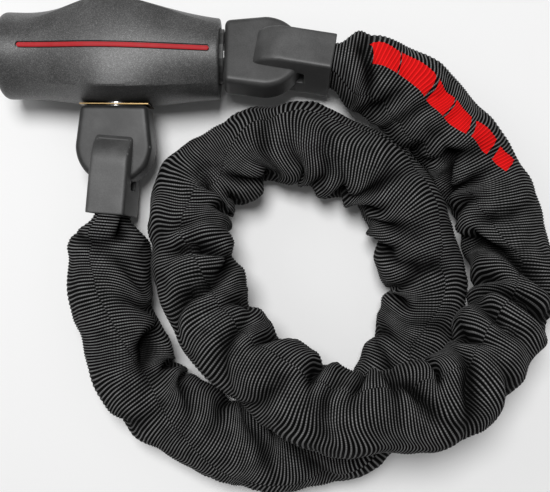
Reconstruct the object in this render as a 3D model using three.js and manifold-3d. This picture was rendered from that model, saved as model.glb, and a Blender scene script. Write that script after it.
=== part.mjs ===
// Bicycle chain lock: a steel lock body in a moulded cover, a fixed lug on its side, a plug that
// pulls out of its end, and a square-link chain in a woven sleeve between the two.
// Millimetres, +Z up. The origin is the middle of the cover's flat underside, on the table,
// and +X runs along the lock body from its key end to its plug end.
import * as THREE from 'three';
import { mergeVertices } from 'three/addons/utils/BufferGeometryUtils.js';
import Module from 'manifold-3d';

const wasm = await Module();
wasm.setup();

// ---- driving dimensions ----
const GAP = 0.3;                 // between touching pieces
const OVERRUN = 1;               // how far a cutter runs past what it cuts
const ALL_ACROSS = [-30, 30];    // wider than the lock body and than a head
const AXIS_Z = 22.6;             // lock body's axis above the table
const KEY_END_X = -49;           // cover's ends
const PLUG_END_X = 50.6;
const COVER_KEY_RADIUS = 19.8;   // cover's round ends and its square middle
const COVER_PLUG_RADIUS = 18.1;
const COVER_FACE = 23;
const COVER_CORNER = 20.4;
const COVER_PEAK_X = 1;
const COVER_PEAK_REACH = [41, 58];   // how far the square middle fades, towards each end
const COVER_BORE_END = 48.3;
const COVER_MOUTH_RADIUS = 12.8;
const STRIPE = { x: [-37.3, 45.5], half: 1, depth: 1, grooveDepth: 1.3 };
const BODY_RADIUS = 16;          // steel body
const BODY_X = [-44, 46];
const BARREL_RADIUS = 8.5;       // lock cylinder
const BARREL_X = [-48.9, -20];
const PLUG_CORE_RADIUS = 6.5;
const PLUG_CORE_END = -17;
const KEYWAY = { end: -22, half: 1, height: 4.2 };
const CAM = { radius: 5.5, x: [-16.7, -12.7], pegRadius: 1.5, pegEnd: -8.9 };
const HOUSING_PIN = { x: -30, radius: 1.5, z: [-15.5, -7.9], hole: 1.8, holeInHousing: [-12, -7.6] };
const LATCH_TRAVEL = 3;
const CAM_ECCENTRIC = LATCH_TRAVEL / Math.SQRT2;
const LATCH_FOOT = { x: [-12, -8.5], half: 5.6, z: [-5, 12.2], slot: [-0.4, 4.1], slotHalf: 1.9 };
const LATCH_STEM = { x: [-10, 37.8], half: 4, z: [9.6, 12.2] };
const LATCH_TOOTH = { from: 34, bottom: 7.3 };
const LATCH_ROOM = 0.3;          // round the latch, in its chambers in the steel body
const LATCH_BAY = { from: -12.3, end: -8.2, floor: -8.4 };
const TOOTH_BAY = { from: 33.7, z: [3, 8] };
const SPRING = { x: 12, z: 13, height: 2.4, turns: 3, radius: 2.1, wire: 0.35 };
const SPRING_POCKET = { radius: 3, z: [12, 17] };
const BOLT_RADIUS = 6;           // locking bolt and fixed stud
const BOLT_REACH = 26.4;
const BOLT_BORE_START = 25.6;
const BOLT_GROOVE = { x: [-19.6, -14.2], radius: 4 };
const BOLT_THREAD = { radius: 3, end: 8, bossRadius: 5.7, holeEnd: 8.4 };
const STUD_REACH = 17;
const STUD_BORE_END = -6.7;
const STUD_CLEARANCE = 0.4;
const STUD_GROOVE = { x: [-12.2, -8.8], radius: 4.5 };
const STUD_PIN = { across: 6.1, y: -13.5, radius: 1.4, half: 5.5, hole: 1.7 };
const COLLAR = { flange: 15.9, flangeX: [46.3, 48], neck: 12.5, neckX: [47, 52.3] };
const DUST_COVER = { x: [-50.6, -49.3], radius: 8.6, tail: 3.4, pinZ: -12.2, pinHole: 1.5 };
const DUST_PIN = { x: [-50.5, -46.3], radius: 1.2, holeEnd: -46 };
const LUG_LENGTH = 36.1;         // lug, measured from the face that meets the lock body
const LUG_HALF = [15.5, 17.6];
const LUG_THICK = 15.6;
const LUG_EDGE = 2;
const LUG_CORE_INSET = 2.4;
const LUG_CORE_THICK = 4.6;
const LUG_BOSS_END = 10;
const BEARING_PLATE = { x: [-0.8, -GAP], half: 15.8, thickHalf: 7.2 };
const EYE_HALF = 10.25;          // arched eye and the channels that run on from it
const EYE_TOP = 11;
const EYE_CORE_INSET = 2;
const WEB_NOSE = 24.7;
const WEB_HALF = 4.2;
const WEB_ROOM = 0.6;
const PIVOT = 26;                // where the end link swings in the eye
const END_LINK = { inner: 4.9, outer: 12.6, width: 7.6, far: 55.2, edge: 1.5 };
const BOOT = { start: 19, mouth: 50, half: [7.75, 8.9], thick: 31, edge: 1.6 };
const SLEEVE_HALF = [18.5, 16.4];   // half width and half height
const SLEEVE_WALL = [1, 0.9];
const SLEEVE_SIDES = 16;
const SLEEVE_SQUARENESS = 0.74;  // 1 is a plain ellipse
const SLEEVE_STEP = 13;
const SLEEVE_MOUTH = 10;         // length of the gathered end next to each boot
const MOUTH_GATHER = 0.5;        // its width at the boot, as a share of the full width
const STRAIGHT_RUN = 5;          // where the sleeve goes straight on from a mouth
const CHAIN_LINKS = 27;
const CHAIN_BAR = 7.6;           // 8 mm bar, nominally
const CHAIN_EDGE = 2.2;
const CHAIN_INNER = [32, 11.4];  // inner length and width of a link
const CHAIN_LEAN_STEP = 5;       // degrees from link to link, next to the plug
const EDGE_SPAN = 38.8;          // between the bars of a link, from middle to middle
const PLUG_SECTION = 165;        // length of sleeve that gives way when the plug is pulled
const HEAD_FIXED = { prefix: 'fixed', x: 3.2, y: -24, turn: -90, roll: 3, rest: -4 };
const HEAD_PLUG = { prefix: 'plug', x: 52.6, y: 0, turn: 0, roll: -15, rest: -9 };

// The chain and its sleeve, from the fixed lug's boot round to the plug's.
const ROUTE = [
  [0, -99, 22.6], [1, -114, 21.4], [5.5, -131.5, 18.4], [13.5, -150, 16.8], [29, -165.5, 16.5],
  [48.5, -176, 16.5], [68.5, -183, 16.5], [90, -184, 16.5], [111, -178, 16.5], [127.5, -164, 16.5],
  [137, -145, 16.5], [144.8, -125, 16.5], [149, -104, 16.5], [145, -83, 16.5], [134, -64, 16.5],
  [118.5, -49.5, 16.5], [100, -39.8, 16.5], [78.5, -38.3, 16.5], [61, -42.2, 16.5],
  [48.5, -49, 17], [40, -60.5, 19.4], [37, -75, 23.6], [39, -93.5, 28.8], [45.5, -113, 33.8],
  [57.5, -130, 39], [72.5, -144.5, 44], [91.5, -154.5, 47.2], [112.5, -159.5, 49],
  [134, -160, 49.2], [153.5, -152.5, 47.4], [170, -139.5, 42.6], [181.5, -123, 35],
  [187, -103.5, 28.2], [184.5, -82.5, 23.4], [177, -62, 21.2], [166, -43, 21.8], [153.5, -29, 23.4],
  [141, -18.3, 24.6], [129, -10.8, 24.6],
];

const COLOURS = {
  cover: { color: 0x303133, roughness: 0.5, metalness: 0.25 },
  rubber: { color: 0x252628, roughness: 0.7, metalness: 0 },
  red: { color: 0xc8202a, roughness: 0.4, metalness: 0 },
  steel: { color: 0x8b8d90, roughness: 0.35, metalness: 1 },
  hardened: { color: 0x6f7276, roughness: 0.4, metalness: 1 },
  brass: { color: 0xb5924c, roughness: 0.35, metalness: 1 },
  woven: { color: 0x1b1b1b, roughness: 0.9, metalness: 0 },
};

// ---- solids ----
function toManifold(geometry) {
  const bare = geometry.clone();
  bare.deleteAttribute('normal');
  bare.deleteAttribute('uv');
  const merged = mergeVertices(bare, 1e-4);
  const vertProperties = new Float32Array(merged.attributes.position.array);
  const triVerts = new Uint32Array(merged.index.array);
  return new wasm.Manifold(new wasm.Mesh({ numProp: 3, vertProperties, triVerts }));
}

function toGeometry(solid) {
  const mesh = solid.getMesh();
  const geometry = new THREE.BufferGeometry();
  geometry.setAttribute('position', new THREE.BufferAttribute(mesh.vertProperties, 3));
  geometry.setIndex(new THREE.BufferAttribute(mesh.triVerts, 1));
  return geometry;
}

function combine(geometries, method) {
  const [first, ...rest] = geometries.map(toManifold);
  return toGeometry(rest.reduce((solid, other) => solid[method](other), first));
}

const join = (...geometries) => combine(geometries, 'add');
const cut = (...geometries) => combine(geometries, 'subtract');
const common = (...geometries) => combine(geometries, 'intersect');

function block([x0, x1], [y0, y1], [z0, z1]) {
  const geometry = new THREE.BoxGeometry(x1 - x0, y1 - y0, z1 - z0);
  return geometry.translate((x0 + x1) / 2, (y0 + y1) / 2, (z0 + z1) / 2);
}

// A round bar along one axis, from one coordinate to another; at holds its other two coordinates.
function rod(axis, radius, [from, to], at = [0, 0], sides = 24) {
  const geometry = new THREE.CylinderGeometry(radius, radius, to - from, sides);
  const middle = (from + to) / 2;
  if (axis === 'x') return geometry.rotateZ(-Math.PI / 2).translate(middle, at[0], at[1]);
  if (axis === 'y') return geometry.translate(at[0], middle, at[1]);
  return geometry.rotateX(Math.PI / 2).translate(at[0], at[1], middle);
}

// A plate of a flat outline, centred on its plane.
function plate(outline, thickness, bevel = 0, curveSegments = 8) {
  const settings = {
    depth: thickness - 2 * bevel, curveSegments, bevelEnabled: bevel > 0, bevelSegments: 1,
    bevelSize: bevel, bevelThickness: bevel, bevelOffset: -bevel,
  };
  return new THREE.ExtrudeGeometry(outline, settings).translate(0, 0, bevel - thickness / 2);
}

// A slot shape: two half circles of one radius, about two centres on the x axis.
function slotPath(path, from, to, radius) {
  path.moveTo(from, -radius);
  path.lineTo(to, -radius);
  path.absarc(to, 0, radius, -Math.PI / 2, Math.PI / 2, false);
  path.lineTo(from, radius);
  path.absarc(from, 0, radius, Math.PI / 2, Math.PI * 1.5, false);
  return path;
}

function ringLink(from, to, inner, outer, thickness, bevel, curveSegments) {
  const outline = slotPath(new THREE.Shape(), from, to, outer);
  outline.holes.push(slotPath(new THREE.Path(), from, to, inner));
  return plate(outline, thickness, bevel, curveSegments);
}

function piece(name, geometry, finish) {
  const mesh = new THREE.Mesh(geometry, new THREE.MeshStandardMaterial(COLOURS[finish]));
  mesh.name = name;
  return mesh;
}

// ---- cover: round at its ends, a square with bowed faces at its middle ----
function coverRadius(x, angle, shrink) {
  const along = (x - KEY_END_X) / (PLUG_END_X - KEY_END_X);
  const round = THREE.MathUtils.lerp(COVER_KEY_RADIUS, COVER_PLUG_RADIUS, along);
  const reach = COVER_PEAK_REACH[x < COVER_PEAK_X ? 0 : 1];
  const distance = Math.min(Math.abs(x - COVER_PEAK_X) / reach, 1);
  const squareness = Math.cos(distance * Math.PI / 2) ** 2;
  const face = THREE.MathUtils.lerp(round, COVER_FACE, squareness) - shrink;
  const corner = THREE.MathUtils.lerp(round / Math.SQRT2, COVER_CORNER, squareness) - shrink;
  const bow = (corner ** 2 + (face - corner) ** 2) / (2 * (face - corner));
  const centre = face - bow;
  const quarter = Math.PI / 2;
  const offFace = Math.cos(angle - Math.round(angle / quarter) * quarter);
  return offFace * centre + Math.sqrt((offFace * centre) ** 2 - centre ** 2 + bow ** 2);
}

function coverBlank(shrink = 0) {
  const geometry = new THREE.CylinderGeometry(1, 1, PLUG_END_X - KEY_END_X, 32, 14);
  geometry.rotateZ(-Math.PI / 2).translate((KEY_END_X + PLUG_END_X) / 2, 0, 0);
  const points = geometry.attributes.position;
  for (let i = 0; i < points.count; i += 1) {
    const x = points.getX(i);
    const reach = Math.hypot(points.getY(i), points.getZ(i));
    const angle = Math.atan2(points.getZ(i), points.getY(i));
    const radius = reach * coverRadius(x, angle, shrink);
    points.setXYZ(i, x, radius * Math.cos(angle), radius * Math.sin(angle));
  }
  return geometry;
}

function stripeSlot(margin) {
  const outline = slotPath(new THREE.Shape(), ...STRIPE.x, STRIPE.half + margin);
  return plate(outline, 12, 0, 4).translate(0, 0, COVER_FACE);
}

function outerCover() {
  const groove = cut(stripeSlot(GAP), coverBlank(STRIPE.grooveDepth));
  const wholeLength = [KEY_END_X - OVERRUN, PLUG_END_X + OVERRUN];
  return cut(
    coverBlank(),
    block(wholeLength, ALL_ACROSS, [ALL_ACROSS[0], -AXIS_Z]),
    rod('x', BODY_RADIUS + GAP, [KEY_END_X - OVERRUN, COVER_BORE_END], [0, 0], 32),
    rod('x', COVER_MOUTH_RADIUS, [COVER_BORE_END - OVERRUN, PLUG_END_X + OVERRUN]),
    rod('y', BOLT_RADIUS + STUD_CLEARANCE, [ALL_ACROSS[0], -BODY_RADIUS / 2], [HEAD_FIXED.x, 0]),
    groove,
  );
}

const redStripe = () => cut(common(stripeSlot(0), coverBlank()), coverBlank(STRIPE.depth));

// ---- steel body and what is inside it ----
function steelBody() {
  const stemX = [LATCH_BAY.from, LATCH_STEM.x[1] + LATCH_ROOM];
  const stemSides = [-LATCH_STEM.half - LATCH_ROOM, LATCH_STEM.half + LATCH_ROOM];
  const footSides = [-LATCH_FOOT.half - LATCH_ROOM, LATCH_FOOT.half + LATCH_ROOM];
  const latchTop = LATCH_STEM.z[1] + LATCH_ROOM;
  const pinAt = [HEAD_FIXED.x + STUD_PIN.across, STUD_PIN.y];
  return cut(
    rod('x', BODY_RADIUS, BODY_X, [0, 0], 32),
    rod('x', BARREL_RADIUS + GAP, [BODY_X[0] - OVERRUN, LATCH_BAY.end]),
    rod('x', BOLT_RADIUS + GAP, [BOLT_BORE_START, BODY_X[1] + OVERRUN]),
    block(stemX, stemSides, [0, latchTop]),
    block([LATCH_BAY.from, LATCH_BAY.end], footSides, [LATCH_BAY.floor, latchTop]),
    block([TOOTH_BAY.from, stemX[1]], stemSides, TOOTH_BAY.z),
    rod('z', SPRING_POCKET.radius, SPRING_POCKET.z, [SPRING.x, 0], 16),
    rod('y', BOLT_RADIUS + GAP, [-BODY_RADIUS - OVERRUN, STUD_BORE_END], [HEAD_FIXED.x, 0]),
    rod('z', STUD_PIN.hole, [-BODY_RADIUS, BODY_RADIUS], pinAt, 12),
    rod('z', HOUSING_PIN.hole, [-BODY_RADIUS - OVERRUN, -BARREL_RADIUS + OVERRUN], [HOUSING_PIN.x, 0], 12),
  );
}

function cylinderHousing() {
  return cut(
    rod('x', BARREL_RADIUS, BARREL_X),
    rod('x', PLUG_CORE_RADIUS + GAP, [BARREL_X[0] - OVERRUN, BARREL_X[1] + OVERRUN]),
    rod('z', HOUSING_PIN.hole, HOUSING_PIN.holeInHousing, [HOUSING_PIN.x, 0], 12),
  );
}

function cylinderPlug() {
  const { end, half, height } = KEYWAY;
  return cut(
    rod('x', PLUG_CORE_RADIUS, [BARREL_X[0], PLUG_CORE_END]),
    block([BARREL_X[0] - OVERRUN, end], [-half, half], [-height, height]),
  );
}

function camDisc() {
  const rise = CAM_ECCENTRIC / Math.SQRT2;
  const peg = rod('x', CAM.pegRadius, [CAM.x[1] - GAP, CAM.pegEnd], [rise, rise], 12);
  return join(rod('x', CAM.radius, CAM.x), peg);
}

function latch() {
  const rise = CAM_ECCENTRIC / Math.SQRT2;
  const { x, half, z, slot, slotHalf } = LATCH_FOOT;
  const foot = cut(
    block(x, [-half, half], z),
    block([x[0] - OVERRUN, x[1] + OVERRUN], slot, [rise - slotHalf, rise + slotHalf]),
  );
  const sides = [-LATCH_STEM.half, LATCH_STEM.half];
  const stem = block(LATCH_STEM.x, sides, LATCH_STEM.z);
  const toothTop = LATCH_STEM.z[0] + GAP;
  const tooth = block([LATCH_TOOTH.from, LATCH_STEM.x[1]], sides, [LATCH_TOOTH.bottom, toothTop]);
  return join(foot, stem, tooth);
}

function latchSpring() {
  class Helix extends THREE.Curve {
    getPoint(t, target = new THREE.Vector3()) {
      const angle = t * SPRING.turns * 2 * Math.PI;
      const [across, side] = [SPRING.radius * Math.cos(angle), SPRING.radius * Math.sin(angle)];
      return target.set(SPRING.x + across, side, SPRING.z + t * SPRING.height);
    }
  }
  const wire = new THREE.Shape().absarc(0, 0, SPRING.wire, 0, 2 * Math.PI, false);
  const settings = { steps: 27, curveSegments: 3, bevelEnabled: false, extrudePath: new Helix() };
  return new THREE.ExtrudeGeometry(wire, settings);
}

function entryCollar() {
  return cut(
    join(rod('x', COLLAR.flange, COLLAR.flangeX), rod('x', COLLAR.neck, COLLAR.neckX)),
    rod('x', BOLT_RADIUS + GAP, [COLLAR.flangeX[0] - OVERRUN, COLLAR.neckX[1] + OVERRUN]),
  );
}

function endCap() {
  const innerEnd = BODY_X[0] - GAP;
  return cut(
    rod('x', BODY_RADIUS, [KEY_END_X, innerEnd]),
    rod('x', BARREL_RADIUS + GAP, [KEY_END_X - OVERRUN, innerEnd + OVERRUN]),
    rod('x', DUST_COVER.pinHole, [KEY_END_X - OVERRUN, DUST_PIN.holeEnd], [0, DUST_COVER.pinZ], 12),
  );
}

function dustCover() {
  const { x, radius, tail, pinZ, pinHole } = DUST_COVER;
  const flap = join(
    rod('x', radius, x),
    rod('x', tail, x, [0, pinZ], 16),
    block(x, [-tail, tail], [pinZ, pinZ / 2]),
  );
  return cut(flap, rod('x', pinHole, [x[0] - OVERRUN, x[1] + OVERRUN], [0, pinZ], 12));
}

function studPin() {
  const at = [HEAD_FIXED.x + STUD_PIN.across, STUD_PIN.y];
  return rod('z', STUD_PIN.radius, [-STUD_PIN.half, STUD_PIN.half], at, 12);
}

function lockBody() {
  const dustPin = rod('x', DUST_PIN.radius, DUST_PIN.x, [0, DUST_COVER.pinZ], 12);
  const group = new THREE.Group();
  group.position.z = AXIS_Z;
  group.add(
    piece('outer_cover', outerCover(), 'cover'),
    piece('red_stripe', redStripe(), 'red'),
    piece('steel_body', steelBody(), 'hardened'),
    piece('end_cap', endCap(), 'rubber'),
    piece('dust_cover', dustCover(), 'rubber'),
    piece('dust_cover_pin', dustPin, 'steel'),
    piece('cylinder_housing', cylinderHousing(), 'brass'),
    piece('housing_pin', rod('z', HOUSING_PIN.radius, HOUSING_PIN.z, [HOUSING_PIN.x, 0], 12), 'steel'),
    piece('cylinder_plug', cylinderPlug(), 'brass'),
    piece('cam_disc', camDisc(), 'steel'),
    piece('latch', latch(), 'steel'),
    piece('latch_spring', latchSpring(), 'steel'),
    piece('entry_collar', entryCollar(), 'rubber'),
    piece('stud_pin', studPin(), 'steel'),
  );
  return group;
}

// ---- heads: lug, end link and boot, along +X from the lug's flat face ----
function lugOutline(grow = 0) {
  const [flatHalf, fullHalf] = LUG_HALF;
  const centre = LUG_LENGTH - fullHalf;
  const outline = new THREE.Shape();
  outline.moveTo(-grow, -flatHalf - grow);
  outline.lineTo(centre, -fullHalf - grow);
  outline.absarc(centre, 0, fullHalf + grow, -Math.PI / 2, Math.PI / 2, false);
  outline.lineTo(-grow, flatHalf + grow);
  return outline;
}

function eyeHole(halfWidth, thickness, end) {
  const centre = EYE_TOP + EYE_HALF;
  const outline = new THREE.Shape();
  outline.moveTo(end, -halfWidth);
  outline.lineTo(centre, -halfWidth);
  outline.absarc(centre, 0, halfWidth, -Math.PI / 2, -Math.PI * 1.5, true);
  outline.lineTo(end, halfWidth);
  return plate(outline, thickness, 0, 5);
}

function lugCore(boss, bossReach, grow = 0) {
  const eye = plate(lugOutline(grow - LUG_CORE_INSET), LUG_CORE_THICK + 2 * grow, 0, 6);
  const solid = join(eye, rod('x', boss + grow, bossReach));
  const nose = WEB_NOSE + LUG_CORE_INSET - grow;
  return cut(solid, eyeHole(EYE_HALF + EYE_CORE_INSET - grow, LUG_THICK + OVERRUN, nose));
}

function lugCover(boss) {
  const centre = EYE_TOP + EYE_HALF;
  const farSide = LUG_LENGTH + OVERRUN;
  const through = LUG_THICK + OVERRUN;
  const channel = eyeHole(EYE_HALF, through, farSide);
  const web = block([centre - EYE_HALF, farSide], ALL_ACROSS, [-WEB_HALF, WEB_HALF]);
  return cut(
    plate(lugOutline(), LUG_THICK, LUG_EDGE, 6),
    cut(channel, web),
    eyeHole(EYE_HALF, through, WEB_NOSE),
    lugCore(boss, [-OVERRUN, LUG_BOSS_END + GAP], GAP),
  );
}

function boot() {
  const [lugHalf, mouthHalf] = BOOT.half;
  const outline = new THREE.Shape();
  outline.moveTo(BOOT.start, -lugHalf);
  outline.lineTo(LUG_LENGTH, -lugHalf);
  outline.lineTo(BOOT.mouth, -mouthHalf);
  outline.lineTo(BOOT.mouth, mouthHalf);
  outline.lineTo(LUG_LENGTH, lugHalf);
  outline.lineTo(BOOT.start, lugHalf);
  const room = END_LINK.outer + GAP;
  const side = END_LINK.width / 2 + GAP;
  const webHalf = WEB_HALF + WEB_ROOM;
  return cut(
    plate(outline, BOOT.thick, BOOT.edge),
    block([0, LUG_LENGTH + 2 * OVERRUN], ALL_ACROSS, [-webHalf, webHalf]),
    block([0, BOOT.mouth + OVERRUN], [-side, side], [-room, room]),
  );
}

// A slightly squared oval, and the same with a hole through it.
function ovalPoints(halfWidth, halfHeight) {
  const points = [];
  for (let i = 0; i < SLEEVE_SIDES; i += 1) {
    const angle = (i / SLEEVE_SIDES) * 2 * Math.PI;
    const [across, up] = [Math.cos(angle), Math.sin(angle)];
    const x = halfWidth * Math.sign(across) * Math.abs(across) ** SLEEVE_SQUARENESS;
    const y = halfHeight * Math.sign(up) * Math.abs(up) ** SLEEVE_SQUARENESS;
    points.push(new THREE.Vector2(x, y));
  }
  return points;
}

function sleeveSection() {
  const [halfWidth, halfHeight] = SLEEVE_HALF;
  const [sideWall, topWall] = SLEEVE_WALL;
  const shape = new THREE.Shape(ovalPoints(halfWidth, halfHeight));
  shape.holes.push(new THREE.Path(ovalPoints(halfWidth - sideWall, halfHeight - topWall)));
  return shape;
}

// The gathered end of the sleeve: half width at the boot, full width where the rest begins.
function sleeveMouth() {
  const settings = { depth: SLEEVE_MOUTH, steps: 4, bevelEnabled: false };
  const geometry = new THREE.ExtrudeGeometry(sleeveSection(), settings);
  const points = geometry.attributes.position;
  for (let i = 0; i < points.count; i += 1) {
    const along = THREE.MathUtils.smoothstep(points.getZ(i), 0, SLEEVE_MOUTH);
    points.setX(i, points.getX(i) * THREE.MathUtils.lerp(MOUTH_GATHER, 1, along));
  }
  const upright = new THREE.Matrix4().makeBasis(
    new THREE.Vector3(0, 1, 0),
    new THREE.Vector3(0, 0, 1),
    new THREE.Vector3(1, 0, 0),
  );
  return geometry.applyMatrix4(upright).translate(BOOT.mouth + GAP, 0, 0);
}

function endLink() {
  const { inner, outer, width, far, edge } = END_LINK;
  return ringLink(PIVOT, far, inner, outer, width, edge, 4).rotateX(Math.PI / 2);
}

function headTurn({ turn, roll }) {
  const { degToRad } = THREE.MathUtils;
  const euler = new THREE.Euler(degToRad(roll), 0, degToRad(turn), 'ZYX');
  return new THREE.Quaternion().setFromEuler(euler);
}

function head(placing, lugPieces) {
  const { prefix, x, y, rest } = placing;
  const group = new THREE.Group();
  group.position.set(x, y, AXIS_Z);
  group.quaternion.copy(headTurn(placing));
  const swing = new THREE.Group();
  swing.position.x = PIVOT;
  swing.rotation.z = THREE.MathUtils.degToRad(rest);
  const swung = new THREE.Group();
  swung.position.x = -PIVOT;
  swung.add(
    piece(`${prefix}_end_link`, endLink(), 'steel'),
    piece(`${prefix}_boot`, boot(), 'rubber'),
    piece(`${prefix}_sleeve_mouth`, sleeveMouth(), 'woven'),
  );
  swing.add(swung);
  group.add(swing, ...lugPieces);
  return group;
}

// A ring cut into a bolt, for the pin or the latch that holds it.
function ringGroove({ x, radius }) {
  const within = [x[0] - OVERRUN, x[1] + OVERRUN];
  return cut(rod('x', BOLT_RADIUS + OVERRUN, x), rod('x', radius, within));
}

function fixedHead() {
  const stud = cut(lugCore(BOLT_RADIUS, [-STUD_REACH, LUG_BOSS_END]), ringGroove(STUD_GROOVE));
  const { x, half, thickHalf } = BEARING_PLATE;
  const bearing = cut(
    block(x, [-half, half], [-thickHalf, thickHalf]),
    rod('x', BOLT_RADIUS + GAP, [x[0] - OVERRUN, x[1] + OVERRUN]),
  );
  return head(HEAD_FIXED, [
    piece('fixed_lug_core', stud, 'hardened'),
    piece('fixed_lug_cover', lugCover(BOLT_RADIUS), 'rubber'),
    piece('bearing_plate', bearing, 'brass'),
  ]);
}

function plugHead() {
  const { radius, end, bossRadius, holeEnd } = BOLT_THREAD;
  const shank = rod('x', BOLT_RADIUS, [-BOLT_REACH, 0]);
  const bolt = cut(join(shank, rod('x', radius, [-OVERRUN, end])), ringGroove(BOLT_GROOVE));
  const threadHole = rod('x', radius + GAP, [-OVERRUN, holeEnd]);
  const core = cut(lugCore(bossRadius, [GAP, LUG_BOSS_END]), threadHole);
  return head(HEAD_PLUG, [
    piece('locking_bolt', bolt, 'hardened'),
    piece('plug_lug_core', core, 'hardened'),
    piece('plug_lug_cover', lugCover(bossRadius), 'rubber'),
  ]);
}

// ---- sleeve and chain ----
// A point on the axis of a head's end link and boot, as they rest.
function onHeadAxis(placing, distance) {
  const swung = THREE.MathUtils.degToRad(placing.rest);
  const beyond = new THREE.Vector3(Math.cos(swung), Math.sin(swung), 0);
  const point = new THREE.Vector3(PIVOT, 0, 0).addScaledVector(beyond, distance - PIVOT);
  return point.applyQuaternion(headTurn(placing)).add(new THREE.Vector3(placing.x, placing.y, AXIS_Z));
}

const sleeveStart = BOOT.mouth + SLEEVE_MOUTH + 2 * GAP;
const routePoints = [
  onHeadAxis(HEAD_FIXED, sleeveStart),
  onHeadAxis(HEAD_FIXED, sleeveStart + STRAIGHT_RUN),
  ...ROUTE.map((point) => new THREE.Vector3(...point)),
  onHeadAxis(HEAD_PLUG, sleeveStart + STRAIGHT_RUN),
  onHeadAxis(HEAD_PLUG, sleeveStart),
];
const route = new THREE.CatmullRomCurve3(routePoints);
const routeLength = route.getLength();

// A stretch of the route whose cross-section stays level.
class LevelStretch extends THREE.Curve {
  constructor(from, to) {
    super();
    this.from = from / routeLength;
    this.to = to / routeLength;
  }

  getPoint(t, target = new THREE.Vector3()) {
    return route.getPointAt(THREE.MathUtils.lerp(this.from, this.to, t), target);
  }

  computeFrenetFrames(segments) {
    const tangents = [];
    const normals = [];
    const binormals = [];
    for (let i = 0; i <= segments; i += 1) {
      const along = THREE.MathUtils.lerp(this.from, this.to, i / segments);
      const tangent = route.getTangentAt(along);
      const sideways = new THREE.Vector3(0, 0, 1).cross(tangent).normalize();
      tangents.push(tangent);
      normals.push(sideways);
      binormals.push(new THREE.Vector3().crossVectors(tangent, sideways));
    }
    return { tangents, normals, binormals };
  }
}

function sleeveStretch(from, to) {
  const steps = Math.round((to - from) / SLEEVE_STEP);
  const extrudePath = new LevelStretch(from, to);
  const settings = { steps, bevelEnabled: false, extrudePath };
  return new THREE.ExtrudeGeometry(sleeveSection(), settings);
}

// The chain bends level at the upright bars: the far bars of the end links, and the two ends of
// each link on edge. The links between them lie flat.
const firstBar = END_LINK.far + END_LINK.outer - CHAIN_BAR / 2 - sleeveStart;
const flatLinks = (CHAIN_LINKS + 1) / 2;
const flatSpan = (routeLength - 2 * firstBar - (flatLinks - 1) * EDGE_SPAN) / flatLinks;

function uprightBar(index) {
  const flatBefore = Math.ceil(index / 2);
  const distance = firstBar + flatBefore * flatSpan + (index - flatBefore) * EDGE_SPAN;
  return route.getPointAt(distance / routeLength);
}

// The links lie flat and on edge by turns, and roll a little to meet the plug's end link.
function chainLink(index) {
  const [innerLength, innerWidth] = CHAIN_INNER;
  const reach = (innerLength - innerWidth) / 2;
  const inner = innerWidth / 2;
  const link = ringLink(-reach, reach, inner, inner + CHAIN_BAR, CHAIN_BAR, CHAIN_EDGE, 3);
  const from = uprightBar(index);
  const to = uprightBar(index + 1);
  const forward = to.clone().sub(from).normalize();
  const sideways = new THREE.Vector3(0, 0, 1).cross(forward).normalize();
  const upward = new THREE.Vector3().crossVectors(forward, sideways);
  const edgeways = index % 2 === 0 ? 0 : 90;
  const toPlug = CHAIN_LINKS - 1 - index;
  const lean = Math.max(0, -HEAD_PLUG.roll - CHAIN_LEAN_STEP * toPlug);
  const placed = new THREE.Matrix4().makeBasis(forward, sideways, upward);
  placed.multiply(new THREE.Matrix4().makeRotationX(THREE.MathUtils.degToRad(edgeways + lean)));
  placed.setPosition(from.lerp(to, 0.5));
  const mesh = piece(`chain_link_${String(index + 1).padStart(2, '0')}`, link, 'hardened');
  mesh.applyMatrix4(placed);
  return mesh;
}

const lock = new THREE.Group();
const plugSectionFrom = routeLength - PLUG_SECTION;
lock.add(
  lockBody(),
  fixedHead(),
  plugHead(),
  piece('sleeve', sleeveStretch(GAP, plugSectionFrom), 'woven'),
  piece('sleeve_plug_section', sleeveStretch(plugSectionFrom + GAP, routeLength - GAP), 'woven'),
);
for (let index = 0; index < CHAIN_LINKS; index += 1) {
  lock.add(chainLink(index));
}

export default lock;
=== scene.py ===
import math

import bmesh
import bpy
import numpy as np
from mathutils import Matrix, Vector
from mathutils.bvhtree import BVHTree


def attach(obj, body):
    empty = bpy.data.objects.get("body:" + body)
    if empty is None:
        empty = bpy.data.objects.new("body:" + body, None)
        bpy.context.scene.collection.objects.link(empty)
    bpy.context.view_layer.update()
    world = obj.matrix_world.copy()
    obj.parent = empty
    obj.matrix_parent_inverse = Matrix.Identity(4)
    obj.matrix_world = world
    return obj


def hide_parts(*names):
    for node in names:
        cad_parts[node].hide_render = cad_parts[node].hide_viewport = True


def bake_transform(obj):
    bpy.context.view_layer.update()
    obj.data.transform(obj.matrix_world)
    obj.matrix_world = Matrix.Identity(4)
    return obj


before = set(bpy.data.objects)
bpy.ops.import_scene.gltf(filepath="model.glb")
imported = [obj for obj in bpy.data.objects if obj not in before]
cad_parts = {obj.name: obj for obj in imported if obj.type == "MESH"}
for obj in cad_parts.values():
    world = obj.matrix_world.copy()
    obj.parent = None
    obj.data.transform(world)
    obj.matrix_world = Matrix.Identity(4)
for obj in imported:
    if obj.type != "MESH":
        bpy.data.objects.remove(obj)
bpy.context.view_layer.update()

MM = 0.001

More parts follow.
